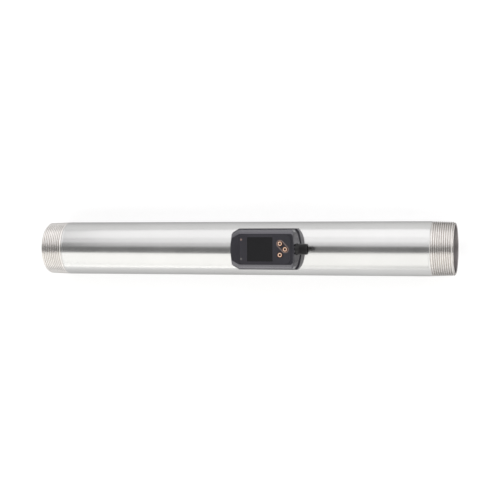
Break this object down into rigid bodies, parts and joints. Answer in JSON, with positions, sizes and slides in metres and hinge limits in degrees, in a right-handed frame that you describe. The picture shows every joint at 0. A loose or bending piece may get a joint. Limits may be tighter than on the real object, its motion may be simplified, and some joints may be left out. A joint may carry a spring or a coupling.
{
  "type": "compressed air flow meter",
  "caption": "Inline compressed air flow meter: threaded steel pipe with a thermal probe and a moulded head that has a display, ring keys and a round plug connector.",
  "frame": {"origin": "centre of the inlet end face, on the pipe axis", "axes": "+X along the pipe with the flow, from inlet to outlet; +Z out through the display face; +Y across"},
  "size_m": [0.475, 0.0604, 0.087],
  "materials": {
    "pipe_steel": "satin",
    "probe_steel": "satin",
    "seal_rubber": "matte",
    "holder_plastic": "matte",
    "ceramic": "matte",
    "housing_plastic": "fine texture",
    "screw_steel": "plain",
    "panel_plastic": "satin",
    "lens": "polished",
    "display": "polished",
    "carrier_plastic": "matte",
    "circuit_board": "solder mask",
    "led": "clear",
    "light_guide": "polished",
    "switch_plastic": "matte",
    "plug_plastic": "matte",
    "contact": "plated",
    "key_plastic": "satin"
  },
  "bodies": {
    "meter": {"measuring_tube": "pipe_steel", "sensor_boss": "probe_steel", "probe_body": "probe_steel", "probe_seal": "seal_rubber", "element_holder": "holder_plastic", "sensing_elements": "ceramic", "lower_housing": "housing_plastic", "base_screws": "screw_steel", "housing_gasket": "seal_rubber", "upper_cover": "housing_plastic", "cover_screws": "screw_steel", "front_panel": "panel_plastic", "display_lens": "lens", "display_module": "display", "display_carrier": "carrier_plastic", "main_board": "circuit_board", "board_screws": "screw_steel", "sensor_board": "circuit_board", "sensor_board_screws": "screw_steel", "board_header": "switch_plastic", "status_leds": "led", "light_guides": "light_guide", "key_switches": "switch_plastic", "connector_body": "plug_plastic", "connector_seal": "seal_rubber", "connector_insert": "plug_plastic", "contact_pins": "contact", "connector_nut": "contact"},
    "up_key": {"up_button": "key_plastic", "up_plunger": "switch_plastic"},
    "enter_key": {"enter_button": "key_plastic", "enter_plunger": "switch_plastic"},
    "down_key": {"down_button": "key_plastic", "down_plunger": "switch_plastic"}
  },
  "joints": [
    {"name": "up_key_press", "type": "slide", "parent": "meter", "child": "up_key", "axis": [0, 0, -1], "range_m": [0, 0.0005], "stiffness_N_per_m": 2000},
    {"name": "enter_key_press", "type": "slide", "parent": "meter", "child": "enter_key", "axis": [0, 0, -1], "range_m": [0, 0.0005], "stiffness_N_per_m": 2000},
    {"name": "down_key_press", "type": "slide", "parent": "meter", "child": "down_key", "axis": [0, 0, -1], "range_m": [0, 0.0005], "stiffness_N_per_m": 2000}
  ]
}
